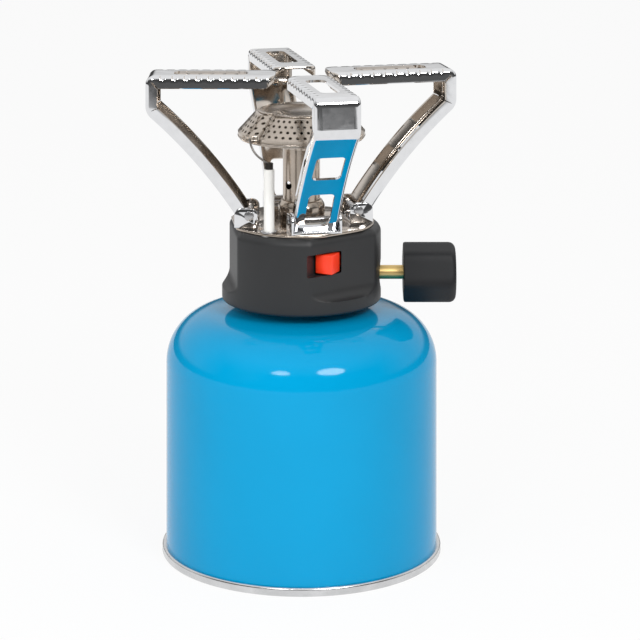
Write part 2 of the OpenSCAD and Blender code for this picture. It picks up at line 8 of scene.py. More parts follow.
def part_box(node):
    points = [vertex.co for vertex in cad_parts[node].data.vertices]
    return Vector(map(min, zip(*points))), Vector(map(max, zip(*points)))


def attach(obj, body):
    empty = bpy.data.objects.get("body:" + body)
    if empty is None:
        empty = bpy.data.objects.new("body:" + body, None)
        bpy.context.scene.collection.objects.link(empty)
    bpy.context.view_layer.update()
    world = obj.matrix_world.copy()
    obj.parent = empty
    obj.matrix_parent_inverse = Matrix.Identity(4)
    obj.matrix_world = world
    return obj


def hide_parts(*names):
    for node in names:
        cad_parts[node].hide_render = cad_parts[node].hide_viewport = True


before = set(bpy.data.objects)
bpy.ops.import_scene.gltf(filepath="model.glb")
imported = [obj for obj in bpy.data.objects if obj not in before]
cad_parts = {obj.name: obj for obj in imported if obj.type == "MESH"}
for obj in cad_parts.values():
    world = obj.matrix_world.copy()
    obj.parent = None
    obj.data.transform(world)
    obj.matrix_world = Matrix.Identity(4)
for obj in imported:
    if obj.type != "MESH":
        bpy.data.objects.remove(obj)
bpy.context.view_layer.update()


# Studio: a white floor in a room that is bright above and behind the stove and dim behind the
# camera, so that plated sheet shows its bends. Two small soft boxes and a wide fill light the front.

class Wire:
    """A node socket that takes part in Python sums; node() adds any other node to its tree."""

    def __init__(self, tree, socket=None):
        self.tree = tree
        self.socket = socket

    def node(self, kind, settings, sockets, output=0):
        made = self.tree.nodes.new(kind)
        for name, value in settings.items():
            setattr(made, name, value)
        for name, value in sockets.items():
            if isinstance(value, Wire):
                self.tree.links.new(value.socket, made.inputs[name])
            else:
                made.inputs[name].default_value = value
        return Wire(self.tree, made.outputs[output] if len(made.outputs) else None)

    def sum(self, operation, *values):
        return self.node("ShaderNodeMath", {"operation": operation}, dict(enumerate(values)))

    def __add__(self, other):
        return self.sum("ADD", self, other)

    def __radd__(self, other):
        return self.sum("ADD", other, self)

    def __sub__(self, other):
        return self.sum("SUBTRACT", self, other)

    def __rsub__(self, other):
        return self.sum("SUBTRACT", other, self)

    def __mul__(self, other):
        return self.sum("MULTIPLY", self, other)

    def __rmul__(self, other):
        return self.sum("MULTIPLY", other, self)

    def __truediv__(self, other):
        return self.sum("DIVIDE", self, other)

    def between(self, low, high):
        """This value from low to high as 0 to 1, held at both ends."""
        sockets = {"Value": self, "From Min": low, "From Max": high}
        return self.node("ShaderNodeMapRange", {"clamp": True}, sockets)

    def mix(self, first, second):
        """From the first colour to the second as this value goes from 0 to 1."""
        return self.node("ShaderNodeMix", {"data_type": "RGBA"}, {0: self, 6: first, 7: second}, 2)


def shade(*levels, by=1.0):
    """A socket's colour from one grey level or three, dimmed by a factor."""
    if len(levels) == 1:
        levels = levels * 3
    return tuple(by * level for level in levels) + (1.0,)


def emptied(owner):
    """The node tree of a material or world, emptied and ready for new nodes."""
    owner.use_nodes = True
    owner.node_tree.nodes.clear()
    return Wire(owner.node_tree)


def noise(wire, place, scale, detail=3.0, stretch=(1, 1, 1)):
    """Soft noise from 0 to 1 over a surface, which may be stretched along its axes."""
    mapped = wire.node("ShaderNodeMapping", {}, {"Vector": place, "Scale": stretch})
    sockets = {"Vector": mapped, "Scale": scale, "Detail": detail}
    return wire.node("ShaderNodeTexNoise", {}, sockets)


def light_room():
    """White to the camera; gloss sees a lit ceiling and backdrop, with a dark gap under the backdrop."""
    dimmest = 0.06
    brightest = 0.92
    ambient = 0.55
    ceiling = (0.45, 0.8)
    backdrop = (-0.3, 0.2)
    backdrop_share = 0.9
    gap = (0.1, 0.18)
    room = bpy.data.worlds.new("studio")
    bpy.context.scene.world = room
    wire = emptied(room)
    ray = wire.node("ShaderNodeTexCoord", {}, {}, "Generated")
    depth = wire.node("ShaderNodeSeparateXYZ", {}, {0: ray}, "Y")
    height = wire.node("ShaderNodeSeparateXYZ", {}, {0: ray}, "Z")
    overhead = height.between(*ceiling)
    behind = depth.between(*backdrop) * height.between(*gap)
    level = dimmest + (brightest - dimmest) * wire.sum("MAXIMUM", overhead, backdrop_share * behind)
    pattern = wire.node("ShaderNodeCombineColor", {}, {0: level, 1: level, 2: level})
    glossy = wire.node("ShaderNodeLightPath", {}, {}, "Is Glossy Ray")
    camera = wire.node("ShaderNodeLightPath", {}, {}, "Is Camera Ray")
    colour = camera.mix(glossy.mix(shade(ambient), pattern), shade(1.0))
    glow = wire.node("ShaderNodeBackground", {}, {"Color": colour, "Strength": 1.0})
    wire.node("ShaderNodeOutputWorld", {}, {"Surface": glow})


def lay_floor():
    """White to the camera with soft shadows; gloss sees it end at the camera, past a cloudy stand."""
    half = 3.0
    glow_share = 0.9
    dimmest = 0.1
    brightest = 0.9
    front_end = (-1.06, -0.9)
    stand_left = (0.24, 0.34)
    stand_right = (0.53, 0.58)
    stand_back = (-0.85, -0.7)
    cloud_scale = 16.0
    cloud_edge = (0.45, 0.65)
    cloud_share = 0.5
    mesh = bpy.data.meshes.new("floor")
    corners = [(-half, -half, 0), (half, -half, 0), (half, half, 0), (-half, half, 0)]
    mesh.from_pydata(corners, [], [(0, 1, 2, 3)])
    white = bpy.data.materials.new("floor_white")
    wire = emptied(white)
    place = wire.node("ShaderNodeTexCoord", {}, {}, "Object")
    across = wire.node("ShaderNodeSeparateXYZ", {}, {0: place}, "X")
    along = wire.node("ShaderNodeSeparateXYZ", {}, {0: place}, "Y")
    cloud = noise(wire, place, cloud_scale).between(*cloud_edge)
    stand = across.between(*stand_left) * (1.0 - across.between(*stand_right))
    stand = stand * (1.0 - along.between(*stand_back)) * (1.0 - cloud_share * cloud)
    level = dimmest + (brightest - dimmest) * along.between(*front_end) * (1.0 - stand)
    fading = wire.node("ShaderNodeCombineColor", {}, {0: level, 1: level, 2: level})
    camera = wire.node("ShaderNodeLightPath", {}, {}, "Is Camera Ray")
    glossy = wire.node("ShaderNodeLightPath", {}, {}, "Is Glossy Ray")
    seen = wire.sum("MAXIMUM", camera * glow_share, glossy)
    matt = wire.node("ShaderNodeBsdfDiffuse", {}, {"Color": shade(0.9)})
    colour = camera.mix(fading, shade(1.0))
    glow = wire.node("ShaderNodeEmission", {}, {"Color": colour, "Strength": 1.0})
    surface = wire.node("ShaderNodeMixShader", {}, {0: seen, 1: matt, 2: glow})
    wire.node("ShaderNodeOutputMaterial", {}, {"Surface": surface})
    mesh.materials.append(white)
    floor = bpy.data.objects.new("floor", mesh)
    bpy.context.scene.collection.objects.link(floor)


def hang_soft_box(name, place, size, watts, mirrored=True):
    """An oval soft box that faces the stove; mirrored says whether gloss shows it."""
    aim = Vector((0, 0, 0.09))
    lamp = bpy.data.lights.new(name, "AREA")
    lamp.shape = "ELLIPSE"
    lamp.size, lamp.size_y = size
    lamp.energy = watts
    holder = bpy.data.objects.new(name, lamp)
    holder.visible_glossy = mirrored
    holder.location = place
    holder.rotation_euler = (aim - Vector(place)).to_track_quat("-Z", "Y").to_euler()
    bpy.context.scene.collection.objects.link(holder)


def set_camera():
    """A camera that looks down with its back kept upright, so that uprights stay upright."""
    distance = 1.097
    height = 0.374
    pixels = 640
    scale = 2480.0
    axis_px = 301.5
    horizon_px = -380.0
    aim = Vector((pixels / 2 - axis_px, scale * distance, horizon_px - pixels / 2)) / scale
    back = -aim.normalized()
    lens = bpy.data.cameras.new("camera")
    lens.sensor_width = 36.0
    lens.lens = lens.sensor_width * scale * aim.length / pixels
    camera = bpy.data.objects.new("camera", lens)
    stand = bpy.data.objects.new("camera_stand", None)
    camera.parent = stand
    camera.matrix_parent_inverse = Matrix((
        (1, 0, back.x, 0), (0, 0, back.y, -distance), (0, 1, back.z, height), (0, 0, 0, 1)))
    bpy.context.scene.collection.objects.link(stand)
    bpy.context.scene.collection.objects.link(camera)
    bpy.context.scene.camera = camera


bpy.context.scene.view_settings.view_transform = "Standard"
light_room()
lay_floor()
hang_soft_box("key_box", (0.46, -0.88, 0.78), (0.46, 0.3), 6.2)
hang_soft_box("second_box", (-0.31, -0.9, 0.71), (0.28, 0.18), 2.0)
hang_soft_box("fill_box", (-0.8, -0.7, 0.5), (0.6, 0.6), 3.2, mirrored=False)
set_camera()


# Can: a cup deep-drawn from tinplate, with a rolled shoulder. The blue lacquer is sprayed and
# baked on before the bottom is seamed, so it is glossy with a faint orange peel.

mm = 0.001


def arc(centre, radius, start, end, steps):
    """Points of a circular arc in an outline's plane, from one angle to another in degrees."""
    angles = [math.radians(start + (end - start) * i / steps) for i in range(steps + 1)]
    return [(centre[0] + radius * math.cos(a), centre[1] + radius * math.sin(a)) for a in angles]


def smooth_mesh(name, shape, sharp=35.0):
    """A smooth-shaded mesh from a bmesh, creased where it turns by more than an angle."""
    mesh = bpy.data.meshes.new(name)
    shape.to_mesh(mesh)
    shape.free()
    mesh.shade_smooth()
    mesh.set_sharp_from_angle(angle=math.radians(sharp))
    return mesh


def skin(shape, loops):
    """Four-sided faces from each closed loop of a bmesh to the next."""
    for loop, after in zip(loops, loops[1:]):
        for i in range(len(loop)):
            j = (i + 1) % len(loop)
            shape.faces.new((loop[i], loop[j], after[j], after[i]))


def turned(name, outline, steps):
    """A closed outline of (radius, height) points turned round the upright axis."""
    shape = bmesh.new()
    rings = []
    for radius, height in outline:
        spots = arc((0, 0), radius, 0, 360, steps)[:-1]
        rings.append([shape.verts.new((x, y, height)) for x, y in spots])
    skin(shape, rings + rings[:1])
    bmesh.ops.remove_doubles(shape, verts=shape.verts, dist=1e-7)
    bmesh.ops.recalc_face_normals(shape, faces=shape.faces)
    return smooth_mesh(name, shape)


def add_piece(mesh, finish, body, node):
    """Puts a mesh in the scene on a body, in place of a CAD solid, which it hides."""
    made = bpy.data.objects.new(mesh.name, mesh)
    bpy.context.scene.collection.objects.link(made)
    mesh.materials.clear()
    mesh.materials.append(finish)
    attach(made, body)
    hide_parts(node)


def new_finish(name):
    """A material with its Object coordinates, to build a surface on."""
    made = bpy.data.materials.new(name)
    wire = emptied(made)
    return made, wire, wire.node("ShaderNodeTexCoord", {}, {}, "Object")


def close_finish(wire, sockets):
    """Ends a material in one surface shader with some sockets set or fed."""
    shader = wire.node("ShaderNodeBsdfPrincipled", {}, sockets)
    wire.node("ShaderNodeOutputMaterial", {}, {"Surface": shader})


def relief(wire, height, strength, depth):
    """A bump from a height of 0 to 1, for a depth in metres."""
    sockets = {"Strength": strength, "Distance": depth, "Height": height}
    return wire.node("ShaderNodeBump", {}, sockets)


def blue_lacquer():
    blue = (0.0, 0.31, 0.59)
    made, wire, place = new_finish("blue_lacquer")
    cloud = noise(wire, place, 22.0)
    peel = noise(wire, place, 700.0, 2.0)
    speck = noise(wire, place, 2600.0, 1.0)
    close_finish(wire, {
        "Base Color": cloud.between(0.35, 0.65).mix(shade(*blue, by=0.96), shade(*blue)),
        "Roughness": 0.075 + 0.05 * speck.between(0.6, 0.8),
        "Normal": relief(wire, peel, 0.06, 0.05 * mm),
        "Specular IOR Level": 0.2,
    })
    return made


def can_wall():
    lo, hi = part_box("can_shell")
    radius = hi.x
    sheet = 0.6 * mm
    shoulder = 20 * mm
    shoulder_z = 76 * mm
    mid_wall = 0.4 * shoulder_z
    roll_end = 83
    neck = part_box("valve_cup")[1].x + 0.6 * mm
    hole = 14 * mm
    centre = (radius - shoulder, shoulder_z)
    outside = [(radius, lo.z), (radius, mid_wall)]
    outside += arc(centre, shoulder, 0, roll_end, 40) + [(neck, hi.z), (hole, hi.z)]
    inside = [(hole, hi.z - sheet), (neck, hi.z - sheet)]
    inside += arc(centre, shoulder - sheet, roll_end, 0, 24) + [(radius - sheet, lo.z)]
    return turned("can_wall", outside + inside, 256)


add_piece(can_wall(), blue_lacquer(), "cartridge", "can_shell")


# Can bottom: a domed panel of plain tinplate, rolled together with the foot of the wall into a
# double seam. The seam keeps its bright metal and fine drawn lines.

def drawn_metal(name, colour, rough, lines):
    """Metal with fine lines along one way: lines is how close they lie along X, Y and Z."""
    dirt = 0.85
    made, wire, place = new_finish(name)
    streak = noise(wire, place, 1.0, 4.0, lines)
    cloud = noise(wire, place, 140.0, 4.0)
    close_finish(wire, {
        "Base Color": cloud.between(0.35, 0.7).mix(shade(*colour, by=dirt), shade(*colour)),
        "Metallic": 1.0,
        "Roughness": rough + 0.1 * streak + 0.06 * cloud,
        "Normal": relief(wire, streak, 0.12, 0.03 * mm),
    })
    return made


def can_bottom():
    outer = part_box("can_base")[1].x
    inner = outer - 3.2 * mm
    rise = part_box("can_base")[1].z
    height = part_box("can_shell")[0].z
    bead = 0.95 * mm
    waist = 0.12 * mm
    foot = 0.7 * mm
    panel = 0.5 * mm
    edge = 2.1 * mm
    lap = 0.2 * mm
    seam = arc((outer - bead, height - bead), bead, 100, 0, 8) + [(outer - waist, 0.5 * height)]
    seam += arc((outer - foot, foot), foot, 0, -90, 6) + arc((inner + foot, foot), foot, -90, -180, 6)
    sag = rise - edge
    ball = (inner * inner + sag * sag) / (2 * sag)
    spread = math.degrees(math.asin(inner / ball))
    below = arc((0, rise - ball), ball - panel, 90 - spread, 90, 24)
    above = arc((0, rise - ball), ball, 90, 90 - spread, 24)
    return turned("can_bottom", seam + below + above + [(inner + lap, height)], 256)


tinplate = drawn_metal("tinplate", (0.76, 0.765, 0.775), 0.16, (60, 60, 2600))
add_piece(can_bottom(), tinplate, "cartridge", "can_base")


# Cartridge valve: a tinplate cup with a threaded post crimped into the can, and inside it a nylon
# housing, a rubber gasket, a steel spring and a brass stem. All of it sits under the stove.

def paint(finish, *nodes):
    """Gives CAD solids that keep their shape a finish of their own."""
    for node in nodes:
        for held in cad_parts[node].material_slots:
            held.material = finish


def moulded(name, colour, rough, grain, gloss=0.5):
    """Plastic or rubber from a spark-eroded mould: an even colour with a fine grain."""
    mottle = 0.88
    depth = 0.02 * mm
    made, wire, place = new_finish(name)
    fine = noise(wire, place, grain, 2.0)
    cloud = noise(wire, place, 70.0)
    close_finish(wire, {
        "Base Color": cloud.between(0.3, 0.7).mix(shade(*colour, by=mottle), shade(*colour)),
        "Roughness": rough + 0.12 * fine,
        "Normal": relief(wire, fine, 0.35, depth),
        "Specular IOR Level": gloss,
    })
    return made


steel = drawn_metal("steel", (0.6, 0.6, 0.61), 0.2, (500, 500, 1500))
brass = drawn_metal("brass", (0.83, 0.6, 0.25), 0.3, (2400, 200, 200))
rubber = moulded("rubber", (0.018, 0.018, 0.018), 0.55, 1400.0)
nylon = moulded("nylon", (0.78, 0.78, 0.74), 0.4, 1800.0)
paint(tinplate, "valve_cup")
paint(nylon, "valve_housing")
paint(rubber, "valve_gasket")
paint(steel, "valve_spring")
paint(brass, "valve_stem")


# Burner valve: a brass block in the housing that screws onto the cartridge's post, with a rubber
# seal in its inlet. A steel pin pushes the cartridge's stem open, and the gas leaves by a brass jet.

paint(brass, "valve_block", "gas_jet")
paint(rubber, "inlet_seal")
paint(steel, "depressor_pin")


# Housing: a shell moulded in black nylon with three finger flats that end in a rounded sill. A
# pocket in the front flat takes the igniter's button, and a hole at the right the spindle.

def blended(first, second, width):
    """The smaller of two distances, rounded over a width where they are nearly the same."""
    near = max(width - abs(first - second), 0.0) / width
    return min(first, second) - near * near * width / 4


def faceted(name, rings, flats, soften, steps):
    """Rings of (radius, height, inset) turned round the axis and planed by flats.

    A flat is (azimuth in degrees, distance at a height); inset draws it in with the ring's edge.
    """
    least_lean = 0.3
    shape = bmesh.new()
    loops = []
    for radius, height, inset in rings:
        loop = []
        for i in range(steps):
            a = 2 * math.pi * i / steps
            reach = radius
            for azimuth, distance in flats:
                lean = math.cos(a - math.radians(azimuth))
                if lean > least_lean and distance(height) is not None:
                    reach = blended(reach, (distance(height) - inset) / lean, soften)
            loop.append(shape.verts.new((reach * math.cos(a), reach * math.sin(a), height)))
        loops.append(loop)
    skin(shape, loops + loops[:1])
    bmesh.ops.remove_doubles(shape, verts=shape.verts, dist=1e-7)
    bmesh.ops.recalc_face_normals(shape, faces=shape.faces)
    return smooth_mesh(name, shape)


def round_prism(width, depth, corner, height):
    """A prism with a rounded rectangle for its foot, standing on the ground at the origin."""
    shape = bmesh.new()
    spots = []
    for turn, (x, y) in enumerate([(1, 1), (-1, 1), (-1, -1), (1, -1)]):
        middle = (x * (width / 2 - corner), y * (depth / 2 - corner))
        spots += arc(middle, corner, 90 * turn, 90 * turn + 90, 6)
    low = [shape.verts.new((x, y, 0)) for x, y in spots]
    high = [shape.verts.new((x, y, height)) for x, y in spots]
    shape.faces.new(list(reversed(low)))
    shape.faces.new(high)
    skin(shape, [low, high])
    bmesh.ops.recalc_face_normals(shape, faces=shape.faces)
    return shape


def drill(radius, length):
    """A round cutter that stands on the ground at the origin: a prism that is all but corners."""
    corner = 0.998 * radius
    return round_prism(2 * radius, 2 * radius, corner, length)


def taken_from(body, name, tools, sharp):
    """The plain mesh of an object with its modifiers done; the object and its tools go."""
    bpy.context.view_layer.update()
    done = bpy.data.meshes.new_from_object(body.evaluated_get(bpy.context.evaluated_depsgraph_get()))
    old = body.data
    for used in [body] + tools:
        bpy.data.objects.remove(used)
    old.name = name + "_blank"
    done.name = name
    done.shade_smooth()
    done.set_sharp_from_angle(angle=math.radians(sharp))
    return done


def cut_out(mesh, cutters, sharp=35.0):
    """The mesh less some bmesh cutters, each given with its place."""
    body = bpy.data.objects.new("work", mesh)
    bpy.context.scene.collection.objects.link(body)
    tools = []
    for shape, place in cutters:
        tool_mesh = bpy.data.meshes.new("cutter")
        shape.to_mesh(tool_mesh)
        shape.free()
        tool_mesh.transform(place)
        tool = bpy.data.objects.new("cutter", tool_mesh)
        bpy.context.scene.collection.objects.link(tool)
        tools.append(tool)
        cut = body.modifiers.new("cut", "BOOLEAN")
        cut.operation = "DIFFERENCE"
        cut.solver = "EXACT"
        cut.object = tool
    return taken_from(body, mesh.name, tools, sharp)


def housing_openings(top):
    """Cutters for the button's pocket, the spindle's hole and the porcelain's notch."""
    button_lo, button_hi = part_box("igniter_button")
    button_z = (button_lo.z + button_hi.z) / 2
    inward = math.radians(65)
    face = Vector((8.7 * mm, -27.9 * mm, button_z))
    button_h = 7.6 * mm
    button_w = 7.3 * mm
    slack = 1.2 * mm
    pocket_corner = 0.6 * mm
    pocket_start = -20 * mm
    pocket_length = 32 * mm
    spindle_hole = 13.2 * mm
    bore_start = 20 * mm
    bore_length = 20 * mm
    stick_hole = 7.2 * mm
    notch_depth = 6 * mm
    notch_length = 8 * mm
    pocket = round_prism(button_h + slack, button_w + slack, pocket_corner, pocket_length)
    along = Matrix.Rotation(inward, 4, "Z") @ Matrix.Rotation(math.radians(90), 4, "Y")
    pocket_end = face + Vector((math.cos(inward), math.sin(inward), 0)) * pocket_start
    spindle_z = sum(corner.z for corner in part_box("control_spindle")) / 2
    bore = drill(spindle_hole / 2, bore_length)
    outward = Matrix.Rotation(math.radians(90), 4, "Y")
    ceramic = sum(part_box("electrode_ceramic"), Vector()) / 2
    notch = drill(stick_hole / 2, notch_length)
    return [
        (pocket, Matrix.Translation(pocket_end) @ along),
        (bore, Matrix.Translation((bore_start, 0, spindle_z)) @ outward),
        (notch, Matrix.Translation((ceramic.x, ceramic.y, top - notch_depth))),
    ]


def housing_moulding():
    lo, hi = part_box("housing")
    radius = 32 * mm
    sill = lo.z + 5.3 * mm
    flat = 27.7 * mm
    sill_round = 4.4 * mm
    top_round = 3.2 * mm
    foot_round = 1.2 * mm
    mouth = 25.8 * mm
    post_hole = 9.4 * mm
    floor = lo.z + 2 * mm
    plain = sill + 10 * mm
    sill_lead = 1.5 * mm
    most_inset = 1.6 * mm
    mouth_inset = 0.2 * mm
    soften = 0.7 * mm
    steps = 540

    def flat_at(height):
        if height <= sill:
            return None
        drop = max(sill + sill_round - height, 0.0)
        return flat + sill_round - math.sqrt(max(sill_round ** 2 - drop ** 2, 0.0))

    outline = arc((radius - foot_round, lo.z + foot_round), foot_round, -90, 0, 5)
    outline += [(radius, sill - sill_lead)]
    outline += [(radius, sill + sill_round * i / 16) for i in range(18)]
    outline += [(radius, plain)]
    outline += arc((radius - top_round, hi.z - top_round), top_round, 0, 90, 10)
    rings = [(post_hole, lo.z, 0)]
    rings += [(r, z, min(radius - r, most_inset) if z > plain else 0) for r, z in outline]
    rings += [(mouth, hi.z, mouth_inset), (mouth, floor, mouth_inset), (post_hole, floor, 0)]
    flats = [(azimuth, flat_at) for azimuth in (-53, 67, 187)]
    shell = faceted("housing_moulding", rings, flats, soften, steps)
    return cut_out(shell, housing_openings(hi.z))


black_nylon = moulded("black_nylon", (0.02, 0.0205, 0.0215), 0.42, 2300.0)
add_piece(housing_moulding(), black_nylon, "stove", "housing")


# Base plate: a nickel-plated disc that clamps the burner to the housing, with flats like the
# housing's. Four upset rivets in it carry the brackets of the pot supports.

def softened(node, width):
    """A copy of a CAD solid with its triangles merged and its edges rounded off."""
    sharp = math.radians(30)
    shape = bmesh.new()
    shape.from_mesh(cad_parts[node].data)
    bmesh.ops.remove_doubles(shape, verts=shape.verts, dist=2e-6)
    bmesh.ops.dissolve_limit(shape, angle_limit=math.radians(1), verts=shape.verts, edges=shape.edges)
    edges = [e for e in shape.edges if len(e.link_faces) == 2 and e.calc_face_angle(0) > sharp]
    bmesh.ops.bevel(shape, geom=edges, offset=width, segments=2, profile=0.5, affect="EDGES",
                    clamp_overlap=True)
    return smooth_mesh(node + "_made", shape)


nickel = drawn_metal("nickel", (0.55, 0.475, 0.405), 0.12, (700, 700, 300))
add_piece(softened("base_plate", 0.25 * mm), nickel, "stove", "base_plate")
paint(steel, "swivel_rivets")


# Burner tube: a drawn steel tube, nickel-plated, that carries the burner head. Four holes drilled
# round it let air in, and its foot is seated in a turned nut on the base plate.

def air_tube():
    lo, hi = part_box("mixing_tube")
    outer = hi.x
    wall = 0.7 * mm
    hole = 1.7 * mm
    hole_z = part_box("base_plate")[1].z + 15 * mm
    drill_length = 12 * mm
    lip = 0.2 * mm
    outline = [(outer, lo.z), (outer, hi.z - lip), (outer - lip, hi.z)]
    outline += [(outer - wall, hi.z), (outer - wall, lo.z)]
    cutters = []
    for turn in (45, 135, 225, 315):
        aim = Matrix.Rotation(math.radians(turn), 4, "Z") @ Matrix.Rotation(math.radians(90), 4, "Y")
        cutters.append((drill(hole, drill_length), Matrix.Translation((0, 0, hole_z)) @ aim))
    return cut_out(turned("air_tube", outline, 96), cutters)


add_piece(air_tube(), nickel, "stove", "mixing_tube")
add_piece(softened("tube_nut", 0.3 * mm), nickel, "stove", "tube_nut")


# Burner head: a flat pan, a conical skirt pierced with four staggered rows of flame holes and a
# pressed cap. The skirt is stamped from thin sheet with a rolled rim and a flute at the electrode.

skirt_lo, skirt_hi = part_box("burner_skirt")
skirt_rim = skirt_hi.x
skirt_crown = 18.5 * mm
skirt_foot = skirt_lo.z + 3 * mm
skirt_top = skirt_hi.z
skirt_sheet = 0.5 * mm
skirt_rise = skirt_top - skirt_foot
skirt_steps = 312
crown_lip = 4 * mm
still_r = skirt_crown - 5 * mm
rows = 4
first_row = 0.055
row_step = 0.23
flute = 3.0 * mm
flute_at = math.radians(222)
flute_width = math.radians(6)
skirt_corner = Vector((skirt_rim, skirt_foot))
skirt_slope = Vector((skirt_crown - skirt_rim, skirt_rise))
skirt_inward = Vector((-skirt_slope.y, skirt_slope.x)).normalized() * skirt_sheet
band_lap = 0.002


def hole_tile(across, along):
    """A square of sheet one unit wide and thick with an oval hole, open at its four sides."""
    rim = [(1, 0.5), (1, 0.75), (1, 1), (0.75, 1), (0.5, 1), (0.25, 1), (0, 1), (0, 0.75)]
    rim += [(1 - u, 1 - v) for u, v in rim]
    shape = bmesh.new()
    layers = []
    for level in (0, 1):
        edge = [shape.verts.new((u, v, level)) for u, v in rim]
        angles = [math.atan2(v - 0.5, u - 0.5) for u, v in rim]
        oval = [(0.5 + across * math.cos(a), 0.5 + along * math.sin(a)) for a in angles]
        hole = [shape.verts.new((u, v, level)) for u, v in oval]
        layers.append((edge, hole))
    (low_edge, low_hole), (high_edge, high_hole) = layers
    for i in range(len(rim)):
        j = (i + 1) % len(rim)
        shape.faces.new((high_edge[i], high_edge[j], high_hole[j], high_hole[i]))
        shape.faces.new((low_edge[j], low_edge[i], low_hole[i], low_hole[j]))
        shape.faces.new((high_hole[i], high_hole[j], low_hole[j], low_hole[i]))
    mesh = bpy.data.meshes.new("hole_tile")
    shape.to_mesh(mesh)
    shape.free()
    return mesh


def piercing_tree(sizes, finish):
    """Geometry nodes that lay the tile out in rows and wrap the strip round the cone."""
    tree = bpy.data.node_groups.new("pierced_skirt", "GeometryNodeTree")
    tree.interface.new_socket("Geometry", in_out="INPUT", socket_type="NodeSocketGeometry")
    tree.interface.new_socket("Geometry", in_out="OUTPUT", socket_type="NodeSocketGeometry")
    keys = {}
    for name, value in sizes.items():
        kind = "NodeSocketInt" if isinstance(value, int) else "NodeSocketFloat"
        keys[name] = tree.interface.new_socket(name, in_out="INPUT", socket_type=kind).identifier
    entry = tree.nodes.new("NodeGroupInput")
    size = {name: Wire(tree, entry.outputs[name]) for name in sizes}
    wire = Wire(tree)
    index = wire.node("GeometryNodeInputIndex", {}, {})
    row = wire.sum("FLOOR", index / size["Holes"])
    column = index - row * size["Holes"]
    stagger = 0.5 * wire.sum("MODULO", row, 2.0)
    spot = wire.node("ShaderNodeCombineXYZ", {}, {"X": column + stagger, "Y": row})
    count = size["Holes"] * size["Rows"]
    points = wire.node("GeometryNodePoints", {}, {"Count": count, "Position": spot})
    tiles = wire.node("GeometryNodeInstanceOnPoints", {}, {
        "Points": points, "Instance": Wire(tree, entry.outputs["Geometry"])})
    strip = wire.node("GeometryNodeRealizeInstances", {}, {"Geometry": tiles})
    flat = wire.node("GeometryNodeInputPosition", {}, {})
    u, v, w = [wire.node("ShaderNodeSeparateXYZ", {}, {0: flat}, axis) for axis in "XYZ"]
    angle = u * (2 * math.pi) / size["Holes"]
    share = size["First Row"] + v * size["Row Step"]
    lean = size["Rim"] - size["Crown"]
    slant = wire.sum("SQRT", lean * lean + size["Rise"] * size["Rise"])
    inward = size["Sheet"] * (w - 1.0)
    off = (angle - size["Flute At"]) / size["Flute Width"]
    dent = size["Flute"] * wire.sum("EXPONENT", off * off * -1.0)
    reach = size["Rim"] - share * lean + inward * size["Rise"] / slant - dent
    height = size["Foot"] + share * size["Rise"] + inward * lean / slant
    wrapped = wire.node("ShaderNodeCombineXYZ", {}, {
        "X": reach * wire.sum("COSINE", angle), "Y": reach * wire.sum("SINE", angle), "Z": height})
    cone = wire.node("GeometryNodeSetPosition", {}, {"Geometry": strip, "Position": wrapped})
    whole = wire.node("GeometryNodeMergeByDistance", {}, {"Geometry": cone, "Distance": 2e-6})
    dressed = wire.node("GeometryNodeSetMaterial", {}, {"Geometry": whole, "Material": finish})
    wire.node("NodeGroupOutput", {}, {"Geometry": dressed})
    return tree, keys


def pierced_skirt(finish):
    """The pierced part of the cone, with its upper and lower edges closed."""
    holes = 52
    hole = 0.62 * mm
    slant = skirt_slope.length
    pitch = 2 * math.pi * (skirt_rim + skirt_crown) / 2 / holes
    sizes = {
        "Holes": holes, "Rows": rows, "Rim": skirt_rim, "Crown": skirt_crown, "Foot": skirt_foot,
        "Rise": skirt_rise, "Sheet": skirt_sheet, "First Row": first_row, "Row Step": row_step,
        "Flute": flute, "Flute At": flute_at, "Flute Width": flute_width,
    }
    body = bpy.data.objects.new("work", hole_tile(hole / pitch, hole / (row_step * slant)))
    bpy.context.scene.collection.objects.link(body)
    tree, keys = piercing_tree(sizes, finish)
    maker = body.modifiers.new("piercing", "NODES")
    maker.node_group = tree
    for name, value in sizes.items():
        maker[keys[name]] = value
    shape = bmesh.new()
    shape.from_mesh(taken_from(body, "open_skirt", [], 40.0))
    middle = skirt_foot + 0.5 * skirt_rise
    ends = [e for e in shape.edges if e.is_boundary]
    bmesh.ops.bridge_loops(shape, edges=[e for e in ends if e.verts[0].co.z < middle])
    bmesh.ops.bridge_loops(shape, edges=[e for e in ends if e.verts[0].co.z > middle])
    bmesh.ops.recalc_face_normals(shape, faces=shape.faces)
    return smooth_mesh("pierced_skirt", shape, 40.0)


def fluted(mesh, still):
    """Presses the flute into a turned band; what is nearer the axis than still stays."""
    for vert in mesh.vertices:
        reach = math.hypot(vert.co.x, vert.co.y)
        if reach > still:
            turn = math.atan2(vert.co.y, vert.co.x) - flute_at
            off = ((turn + math.pi) % (2 * math.pi) - math.pi) / flute_width
            dent = flute * min((reach - still) / (skirt_crown - still), 1.0) * math.exp(-off * off)
            vert.co.xy *= 1 - dent / reach
    mesh.set_sharp_from_angle(angle=math.radians(35))
    return mesh


def rolled_rim():
    """The plain band under the holes, whose edge is rolled into a bead."""
    bead = 0.6 * mm
    bead_z = skirt_foot - 1.5 * mm
    bend_up = 0.2 * mm
    neck = 0.15 * mm
    neck_drops = (0.3 * mm, 0.9 * mm)
    inner_r = skirt_rim - skirt_sheet - 0.2 * mm
    inner_z = skirt_foot - 0.4 * mm
    edge = skirt_corner + (first_row + band_lap) * skirt_slope
    outline = [edge, skirt_corner + bend_up * skirt_slope.normalized()]
    outline += [skirt_corner - Vector((neck, drop)) for drop in neck_drops]
    outline += arc((skirt_rim - bead, bead_z), bead, 60, -180, 12)
    outline += [(inner_r, inner_z), edge + skirt_inward]
    return fluted(turned("skirt_rim", outline, skirt_steps), 0)


